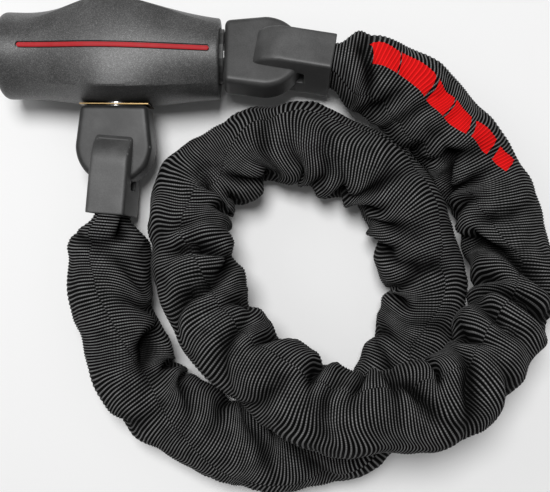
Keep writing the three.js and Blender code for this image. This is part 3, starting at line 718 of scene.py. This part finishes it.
def red_inlay():
    material, tree, shader = new_material("red_inlay", Metallic=0.0, Specular_IOR_Level=0.22)
    fleck = use(tree, "fleck", Fleck_Size=0.3, Grain_Size=0.5)
    colour = ramp(tree, fleck["Cloud"], [(0.3, (0.34, 0.008, 0.012)), (0.7, (0.42, 0.010, 0.016))])
    dust = math_node(tree, "MULTIPLY", use(tree, "dust", Patch_Size=6.0)["Dust"], 0.08)
    drive(tree, shader, Base_Color=mix(tree, dust, colour, (0.5, 0.36, 0.34)),
          Roughness=rough_between(tree, fleck["Cloud"], 0.48, 0.58))
    bump(tree, shader, fleck["Grain"], 0.00003, 0.4)
    return material


def metal(name, low, high, along, rough=(0.28, 0.42)):
    material, tree, shader = new_material(name, Metallic=1.0)
    lines = use(tree, "lines", Along=along)["Lines"]
    fleck = use(tree, "fleck", Fleck_Size=0.9, Grain_Size=0.4)
    colour = ramp(tree, lines, [(0.3, low), (0.7, high)])
    cloud = ramp(tree, fleck["Cloud"], [(0.3, grey(0.82)), (0.7, grey(1.06))])
    shaded = mix(tree, 1.0, colour, cloud, "MULTIPLY")
    bright = tuple(min(1.0, 1.35 * value) for value in high)
    drive(tree, shader, Base_Color=mix(tree, use(tree, "wear")["Worn"], shaded, bright),
          Roughness=rough_between(tree, lines, *rough))
    bump(tree, shader, lines, 0.00002, 0.5)
    return material


# The printed blocks: each one's distance from the plug's mouth and half its length.
PRINT_BARS = [(22, 5.5), (34, 7.5), (48, 6.5), (61, 7.0), (75, 6.0), (87, 4.5)]
PRINT_AROUND = 21.3
PRINT_HALF_HEIGHT = 4.4
PRINT_SLANT = 0.35
PRINT_FILL = 0.88


def woven_cloth():
    """Black ribbed webbing: the valleys between ribs painted near-black as shade, painted grey highlights on
    the thread beads along each rib's crest, and painted shade in the folds.
    """
    material, tree, shader = new_material("woven_cloth", Metallic=0.0, Specular_IOR_Level=0.08)
    cloth = node(tree, "ShaderNodeUVMap", {"uv_map": "cloth"}).outputs["UV"]
    parts = node(tree, "ShaderNodeSeparateXYZ", Vector=cloth).outputs
    along, around = parts[0], parts[1]
    past_seam = math_node(tree, "GREATER_THAN", around, 0.0)
    shifted = math_node(tree, "MULTIPLY_ADD", past_seam, 0.5 * RIB_PITCH * MM, along)
    rib = math_node(tree, "DIVIDE", shifted, RIB_PITCH * MM)
    wave = math_node(tree, "COSINE", math_node(tree, "MULTIPLY", rib, 2 * math.pi))
    crest = node(tree, "ShaderNodeMapRange", {"clamp": True, "interpolation_type": "SMOOTHSTEP"},
                 Value=wave, in1=0.05, in2=0.9).outputs["Result"]
    row = math_node(tree, "MULTIPLY", math_node(tree, "ROUND", rib), math.pi)
    stitch = math_node(tree, "MULTIPLY_ADD", around, 2 * math.pi / (0.95 * MM), row)
    stitch_wave = math_node(tree, "COSINE", stitch)
    bead = node(tree, "ShaderNodeMapRange", {"clamp": True}, Value=stitch_wave, in1=-0.9, in2=0.5,
                in3=0.45, in4=1.0).outputs["Result"]
    place = node(tree, "ShaderNodeTexCoord").outputs["Object"]
    streak = ramp(tree, noise(tree, place, 160.0, 4.0, 0.6), [(0.25, grey(0.55)), (0.75, grey(1.25))])
    fibre = ramp(tree, noise(tree, place, 5200.0, 2.0, 0.6), [(0.2, grey(0.75)), (0.8, grey(1.25))])
    highlit_beads = math_node(tree, "MULTIPLY", crest, bead)
    # painted highlight and shade: the thread beads on each rib's crest are painted grey as highlight, the
    # valleys near-black as shade
    colour = mix(tree, highlit_beads, grey(0.001), grey(0.2))
    colour = mix(tree, 1.0, colour, streak, "MULTIPLY")
    colour = mix(tree, 1.0, colour, fibre, "MULTIPLY")
    # painted shade: the cloth's colour is darkened where it lies deep in a fold
    hollow = node(tree, "ShaderNodeAttribute", {"attribute_name": "hollow"}).outputs["Fac"]
    shade = ramp(tree, hollow, [(0.0, grey(1.0)), (0.5, grey(0.5)), (1.0, grey(0.12))])
    colour = mix(tree, 1.0, colour, shade, "MULTIPLY")
    seam = math_node(tree, "LESS_THAN", math_node(tree, "ABSOLUTE", around), 0.3 * MM)
    colour = mix(tree, math_node(tree, "MULTIPLY", seam, 0.4), colour, grey(0.006))
    from_plug = math_node(tree, "SUBTRACT", route.length * MM, along)
    printed = print_mask(tree, from_plug, around)
    # the red print is painted lighter on the rib crests and darker in the valleys, as painted highlight and
    # shade
    ink = mix(tree, crest, (0.52, 0.006, 0.006), (0.84, 0.010, 0.011))
    colour = mix(tree, printed, colour, ink)
    drive(tree, shader, Base_Color=colour, Roughness=rough_between(tree, highlit_beads, 0.92, 0.62))
    height = math_node(tree, "MULTIPLY_ADD", highlit_beads, 0.8, math_node(tree, "MULTIPLY", fibre, 0.12))
    bump(tree, shader, height, 0.0002, 0.8)
    return material


def print_mask(tree, from_plug, around):
    """A row of plain slanted blocks printed along the outer side of the sleeve by the plug."""
    centre = PRINT_AROUND * MM
    off_centre = math_node(tree, "SUBTRACT", around, centre)
    slanted = math_node(tree, "MULTIPLY_ADD", off_centre, PRINT_SLANT, from_plug)
    mask = None
    for at, half in PRINT_BARS:
        near = math_node(tree, "ABSOLUTE", math_node(tree, "SUBTRACT", slanted, at * MM))
        inside = math_node(tree, "LESS_THAN", near, half * PRINT_FILL * MM)
        mask = inside if mask is None else math_node(tree, "MAXIMUM", mask, inside)
    height = math_node(tree, "ABSOLUTE", off_centre)
    band = math_node(tree, "LESS_THAN", height, PRINT_HALF_HEIGHT * MM)
    return math_node(tree, "MULTIPLY", mask, band)


MATERIALS = {
    "charcoal_cover": charcoal_cover(),
    "lug_rubber": lug_rubber(),
    # painted shade: the fixed lug's rubber, the same rubber painted darker
    "shaded_rubber": lug_rubber("shaded_rubber", 0.36, 8.0),
    # painted light: the boots' rubber, the same rubber painted lighter as a highlight on the straps
    "boot_rubber": lug_rubber("boot_rubber", 1.4, 9.0),
    "black_plastic": lug_rubber("black_plastic", 0.5, 7.0),
    "red_inlay": red_inlay(),
    "hardened_steel": metal("hardened_steel", grey(0.26), grey(0.4), (0.2, 1.0, 1.0)),
    "plain_steel": metal("plain_steel", grey(0.42), grey(0.6), (1.0, 0.2, 1.0), (0.2, 0.34)),
    # painted shade: brass painted far darker than brass, for the dark gap between the cover and the fixed lug
    "brass": metal("brass", (0.045, 0.03, 0.014), (0.11, 0.075, 0.034), (0.1, 1.0, 1.0), (0.22, 0.36)),
    "woven_cloth": woven_cloth(),
}


# ---- solids made here ----
def evaluated(obj):
    graph = bpy.context.evaluated_depsgraph_get()
    return bpy.data.meshes.new_from_object(obj.evaluated_get(graph))


def apply_modifiers(obj):
    mesh = evaluated(obj)
    obj.modifiers.clear()
    obj.data = mesh


def outline_solid(name, outline, low, high):
    """A solid over a flat outline in the XY plane, between two heights, in millimetres."""
    count = len(outline)
    verts = [(x * MM, y * MM, z * MM) for z in (low, high) for x, y in outline]
    faces = [tuple(reversed(range(count))), tuple(range(count, 2 * count))]
    faces += [(i, (i + 1) % count, count + (i + 1) % count, count + i) for i in range(count)]
    mesh = bpy.data.meshes.new(name)
    mesh.from_pydata(verts, [], faces)
    return new_object(name, mesh)


def box_solid(name, xs, ys, zs):
    return outline_solid(name, [(xs[0], ys[0]), (xs[1], ys[0]), (xs[1], ys[1]), (xs[0], ys[1])], *zs)


def boolean(obj, tool, operation="DIFFERENCE"):
    modifier = obj.modifiers.new("cut", "BOOLEAN")
    modifier.operation = operation
    modifier.solver = "EXACT"
    modifier.object = tool
    apply_modifiers(obj)
    bpy.data.objects.remove(tool)


def round_over(obj, voxel, passes):
    """Remeshes a solid finely and eases its edges, as moulded rubber has them."""
    remesh = obj.modifiers.new("remesh", "REMESH")
    remesh.mode = "VOXEL"
    remesh.voxel_size = voxel * MM
    ease = obj.modifiers.new("ease", "SMOOTH")
    ease.factor = 0.5
    ease.iterations = passes
    apply_modifiers(obj)
    obj.data.polygons.foreach_set("use_smooth", [True] * len(obj.data.polygons))


def arc(centre, radii, start, end, steps):
    angles = np.radians(np.linspace(start, end, steps))
    return [(centre[0] + radii[0] * math.cos(a), centre[1] + radii[1] * math.sin(a)) for a in angles]


def arch(half, top, end, power=0.45, steps=40):
    """An arched opening whose top is flatter than a half circle."""
    centre = top + half * 0.86
    points = [(end, -half)]
    for angle in np.radians(np.linspace(-90, -270, steps)):
        c, n = math.cos(angle), math.sin(angle)
        points.append((centre + half * 0.86 * math.copysign(abs(c) ** power, c),
                       half * math.copysign(abs(n) ** power, n)))
    return points + [(end, half)]


def place(obj, matrix):
    """Puts a piece made about a head's own axis, in metres, where the head lies."""
    moved = matrix.copy()
    moved.translation *= MM
    obj.data.transform(moved)


def lug_cover(name):
    """A moulded lug: a slab with a round end, an eye through it and a recess for the strap."""
    flat_half, full_half = LUG_HALF
    centre = LUG_LENGTH - full_half
    outline = [(0, flat_half), (0, -flat_half)] + arc((centre, 0), (full_half, full_half), -90, 90, 60)
    lug = outline_solid(name, outline, -LUG_THICK / 2, LUG_THICK / 2)
    edge = lug.modifiers.new("edge", "BEVEL")
    edge.width = LUG_EDGE * MM
    edge.segments = 5
    edge.limit_method = "ANGLE"
    edge.angle_limit = math.radians(40)
    apply_modifiers(lug)
    far = LUG_LENGTH + 5
    boolean(lug, outline_solid("eye", arch(EYE_HALF, EYE_TOP, WEB_NOSE), -PAST_LUG, PAST_LUG))
    for low, high in ((WEB_HALF, PAST_LUG), (-PAST_LUG, -WEB_HALF)):
        boolean(lug, outline_solid("channel", arch(EYE_HALF, EYE_TOP, far), low, high))
    boolean(lug, box_solid("core room", (-5, 10.6), (-6.4, 6.4), (-5.4, 5.4)))
    round_over(lug, 0.42, 7)
    return lug


def upright(obj):
    """Turns a solid over an XY outline so that its outline stands in the XZ plane."""
    obj.data.transform(Matrix.Rotation(math.radians(90), 4, "X"))
    return obj


NOSE_CENTRE = 27.5
NOSE_REACH = 15.5
STRAP_HALF = (8.6, 8.8)
SLOT_HALF = WEB_HALF + 0.6
ROOM_RADIUS = 12.9
ROOM_HALF = 4.1
MOUTH_ROOM = (7.7, 14.2)


def boot(name):
    """The moulded boot over the end link: a thick strap with a rounded nose and a flared mouth."""
    half_thick = BOOT_THICK / 2
    past_mouth = BOOT_MOUTH + 5
    profile = arc((NOSE_CENTRE, 0), (NOSE_REACH, half_thick), 90, 270, 64)
    profile += [(BOOT_MOUTH + 6, -half_thick), (BOOT_MOUTH + 6, half_thick)]
    strap = upright(outline_solid(name, profile, -BOOT_HALF - 3, BOOT_HALF + 3))
    sides = [(5, -STRAP_HALF[0]), (22, -STRAP_HALF[1]), (LUG_LENGTH, -STRAP_HALF[1]),
             (BOOT_MOUTH - 2.5, -BOOT_HALF), (62, -BOOT_HALF)]
    sides += [(x, -y) for x, y in reversed(sides)]
    boolean(strap, outline_solid("sides", sides, -20, 20), "INTERSECT")
    round_over(strap, 0.5, 36)
    across = (-PAST_BOOT, PAST_BOOT)
    boolean(strap, box_solid("mouth cut", (BOOT_MOUTH, BOOT_MOUTH + 20), across, across))
    boolean(strap, box_solid("web slot", (0, LUG_LENGTH + 2), across, (-SLOT_HALF, SLOT_HALF)))
    link_room = arc((PIVOT, 0), (ROOM_RADIUS, ROOM_RADIUS), 90, 270, 48)
    link_room += [(past_mouth, -ROOM_RADIUS), (past_mouth, ROOM_RADIUS)]
    boolean(strap, upright(outline_solid("link room", link_room, -ROOM_HALF, ROOM_HALF)))
    wide, high = MOUTH_ROOM
    boolean(strap, box_solid("mouth", (BOOT_MOUTH - TUCK - 0.8, past_mouth), (-wide, wide), (-high, high)))
    round_over(strap, 0.36, 3)
    return strap


def peak_share(x):
    """How square the cover is at x: 1 at its middle and 0 at its ends."""
    reach = np.where(x < COVER_PEAK_X, *COVER_PEAK_REACH)
    distance = np.minimum(np.abs(x - COVER_PEAK_X) / reach, 1)
    return np.cos(distance * math.pi / 2) ** 2


def cover_radius(x, angle):
    along = (x - KEY_END_X) / (PLUG_END_X - KEY_END_X)
    round_radius = COVER_KEY_RADIUS + (COVER_PLUG_RADIUS - COVER_KEY_RADIUS) * along
    squareness = peak_share(x)
    face = round_radius + (COVER_FACE - round_radius) * squareness
    corner = round_radius / math.sqrt(2) * (1 - squareness) + COVER_CORNER * squareness
    bow = (corner ** 2 + (face - corner) ** 2) / (2 * (face - corner))
    centre = face - bow
    quarter = math.pi / 2
    angle = angle + COVER_ROLL * squareness
    off_face = np.cos(angle - np.round(angle / quarter) * quarter)
    return off_face * centre + np.sqrt((off_face * centre) ** 2 - centre ** 2 + bow ** 2)


def cover():
    """The moulded cover: bowed square at its middle, round at its ends, with eased rims."""
    turns = np.linspace(0, math.pi / 2, 7)
    key_rim = [(KEY_END_X + KEY_EASE * (1 - math.sin(t)), KEY_EASE * 0.85 * (1 - math.cos(t)))
               for t in reversed(turns)]
    plug_rim = [(PLUG_END_X - PLUG_EASE * (1 - math.sin(t)), PLUG_EASE * (1 - math.cos(t))) for t in turns]
    middle = [(x, 0.0) for x in np.linspace(KEY_END_X + KEY_EASE, PLUG_END_X - PLUG_EASE, 150)[1:-1]]
    sides = 192
    theta = np.arange(sides) / sides * 2 * math.pi
    rings = []
    skin = key_rim + middle + plug_rim
    for x, inset in skin:
        rings.append((x, cover_radius(np.full(sides, x), theta) - inset))
    bore = [(PLUG_END_X, 13.3), (PLUG_END_X - 0.4, COLLAR_BORE_RADIUS), (48.4, COLLAR_BORE_RADIUS),
            (48.2, BORE_RADIUS), (KEY_END_X + 0.5, BORE_RADIUS), (KEY_END_X, BORE_RADIUS + 0.5)]
    rings += [(x, np.full(sides, radius)) for x, radius in bore]
    rings.append(rings[0])
    sags = [COVER_SAG * (1 - peak_share(x)) if i < len(skin) or i == len(rings) - 1 else 0.0
            for i, (x, _) in enumerate(rings)]
    grid = np.array([
        np.stack([np.full(sides, x), radius * np.cos(theta) - sag, radius * np.sin(theta) + AXIS_Z], 1)
        for (x, radius), sag in zip(rings, sags)
    ])
    grid[..., 2] = np.maximum(grid[..., 2], 0.0)
    mesh = grid_mesh("moulded_cover", grid)
    body = new_object("moulded_cover", mesh)
    weld = body.modifiers.new("weld", "WELD")
    weld.merge_threshold = 0.00001
    apply_modifiers(body)
    face_outwards(body.data)
    boolean(body, stripe_solid("groove", 0.55, under=1.3, cut_to=AXIS_Z + 30))
    return body


def face_outwards(mesh, close_ends=False):
    work = bmesh.new()
    work.from_mesh(mesh)
    if close_ends:
        bmesh.ops.holes_fill(work, edges=[e for e in work.edges if e.is_boundary])
    bmesh.ops.recalc_face_normals(work, faces=work.faces)
    work.to_mesh(mesh)
    work.free()


def stripe_solid(name, grow, under, cut_to=None):
    """A slot-shaped solid whose underside follows the cover's top, a little below it. A cutting
    tool is flat on top, at the height cut_to; the inlay itself is crowned."""
    columns = np.concatenate([np.linspace(-38.4 - grow, -36, 8), np.linspace(-34, 44, 60),
                              np.linspace(45, 46.6 + grow, 8)])
    half = []
    for x in columns:
        beyond = max(-37.3 - x, x - 45.5, 0)
        half.append(math.sqrt(max((1 + grow) ** 2 - beyond ** 2, 1e-4)))
    crown = cover_radius(columns, np.full(len(columns), math.pi / 2)) + AXIS_Z
    grid = []
    for x, reach, top in zip(columns, half, crown):
        bottom = top - under
        row = [(x, -reach, bottom), (x, reach, bottom)]
        if cut_to is not None:
            row += [(x, reach, cut_to), (x, -reach, cut_to)]
        else:
            upper = top - 0.12
            row += [(x, reach, upper - 0.12), (x, reach * 0.7, upper), (x, 0, upper + 0.05),
                    (x, -reach * 0.7, upper), (x, -reach, upper - 0.12)]
        grid.append(row)
    grid = np.array(grid)
    mesh = grid_mesh(name, grid)
    face_outwards(mesh, close_ends=True)
    return new_object(name, mesh)


def shade_by_angle(obj, degrees):
    mesh = obj.data
    mesh.polygons.foreach_set("use_smooth", [True] * len(mesh.polygons))
    mesh.set_sharp_from_angle(angle=math.radians(degrees))


# ---- the object ----
cloth = sleeve_pieces(MATERIALS["woven_cloth"])
main_cloth, main_line = cloth["main_cloth"]
plug_run, plug_line = cloth["plug_run_cloth"]
mouths = {head_name: cloth[f"{head_name}_mouth_cloth"][0] for head_name in HEADS}
# Each head's lug body, its link's body, its lug's rubber (for the fixed head a darker copy, painted shade)
# and the chain link nearest to it.
HEAD_PARTS = {
    "fixed": ("lock_body", "fixed_link", "shaded_rubber", "chain_link_01"),
    "plug": ("plug_head", "plug_link", "lug_rubber", "chain_link_27"),
}


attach(main_cloth, "lock_body")
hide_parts("sleeve")
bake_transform(plug_run)
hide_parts("sleeve_plug_section")
for head_name, (lug_body, link_body, _, _) in HEAD_PARTS.items():
    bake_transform(mouths[head_name])
    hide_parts(f"{head_name}_sleeve_mouth")


def finish_piece(obj, material, body, slot, *nodes, smooth_angle=None):
    obj.data.materials.clear()
    obj.data.materials.append(MATERIALS[material])
    if smooth_angle is not None:
        shade_by_angle(obj, smooth_angle)
    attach(obj, body)
    if nodes:
        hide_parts(*nodes)


finish_piece(cover(), "charcoal_cover", "lock_body", "cover_plastic", "outer_cover", smooth_angle=15)
finish_piece(stripe_solid("stripe_inlay", 0.0, under=1.0), "red_inlay", "lock_body", "red_inlay",
             "red_stripe", smooth_angle=50)
for head_name, (lug_body, link_body, lug_tone_with_painted_shade, _) in HEAD_PARTS.items():
    lug = lug_cover(f"{head_name}_moulded_lug")
    place(lug, head_matrix(head_name))
    finish_piece(lug, lug_tone_with_painted_shade, lug_body, "lug_rubber", f"{head_name}_lug_cover")
    strap = boot(f"{head_name}_moulded_boot")
    place(strap, swung_matrix(head_name))
    finish_piece(strap, "boot_rubber", link_body, "lug_rubber", f"{head_name}_boot")


def link_piece(node_name, body_a, body_b, start, end):
    """A copy of a chain link in hardened steel that takes the place of the part."""
    piece = new_object(f"{node_name}_run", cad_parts[node_name].data.copy(), MATERIALS["hardened_steel"])
    shade_by_angle(piece, 40)
    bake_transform(piece)
    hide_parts(node_name)


for number in range(PLUG_LINKS[0], PLUG_LINKS[1] + 1):
    link_piece(f"chain_link_{number:02d}", "lock_body", "plug_head", plug_line[0], plug_line[-1])
for head_name in ("plug", "fixed"):
    lug_body, link_body, _, nearest_link = HEAD_PARTS[head_name]
    link_piece(nearest_link, link_body, lug_body, *(on_head_axis(head_name, d) for d in FIRST_LINK_SPAN))
FREE_LINKS = [f"chain_link_{i:02d}" for i in range(2, PLUG_LINKS[0])]
NODE_FINISH = {
    "black_plastic": ["end_cap", "dust_cover", "entry_collar"],
    "hardened_steel": ["steel_body", "fixed_lug_core", "plug_lug_core", "locking_bolt", "fixed_end_link",
                       "plug_end_link"] + FREE_LINKS,
    "plain_steel": ["dust_cover_pin", "housing_pin", "cam_disc", "latch", "latch_spring", "stud_pin"],
    "brass": ["cylinder_housing", "cylinder_plug", "bearing_plate"],
}
for finish_name, names in NODE_FINISH.items():
    for name in names:
        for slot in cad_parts[name].material_slots:
            slot.material = MATERIALS[finish_name]


# ---- floor and light ----
def floor_material():
    material, tree, shader = new_material("pale_floor", Metallic=0.0, Roughness=0.9)
    place_on = node(tree, "ShaderNodeTexCoord").outputs["Object"]
    tone = ramp(tree, noise(tree, place_on, 3.0, 2.0), [(0.3, grey(0.84)), (0.7, grey(0.87))])
    drive(tree, shader, Base_Color=tone)
    return material


def add_floor():
    mesh = bpy.data.meshes.new("floor")
    reach = 3.0
    mesh.from_pydata([(-reach, -reach, -0.0001), (reach, -reach, -0.0001), (reach, reach, -0.0001),
                      (-reach, reach, -0.0001)], [], [(0, 1, 2, 3)])
    floor = new_object("floor", mesh, floor_material())


def add_light(name, at, towards, size, watts):
    data = bpy.data.lights.new(name, "AREA")
    data.shape = "DISK"
    data.size = size
    data.energy = watts
    light = bpy.data.objects.new(name, data)
    bpy.context.collection.objects.link(light)
    light.location = at
    aim = Vector(towards) - Vector(at)
    light.rotation_euler = aim.to_track_quat("-Z", "Y").to_euler()


add_floor()
LIT_POINT = (0.06, -0.08, 0.0)
add_light("key", (-0.05, 0.24, 1.2), LIT_POINT, size=0.5, watts=13.5)
add_light("fill", (-0.9, 0.5, 0.8), LIT_POINT, size=0.8, watts=2.0)
bpy.context.scene.view_settings.view_transform = "Standard"
world = bpy.data.worlds.new("studio")
bpy.context.scene.world = world
world.use_nodes = True
world.node_tree.nodes["Background"].inputs["Color"].default_value = (1, 1, 1, 1)
world.node_tree.nodes["Background"].inputs["Strength"].default_value = 0.22
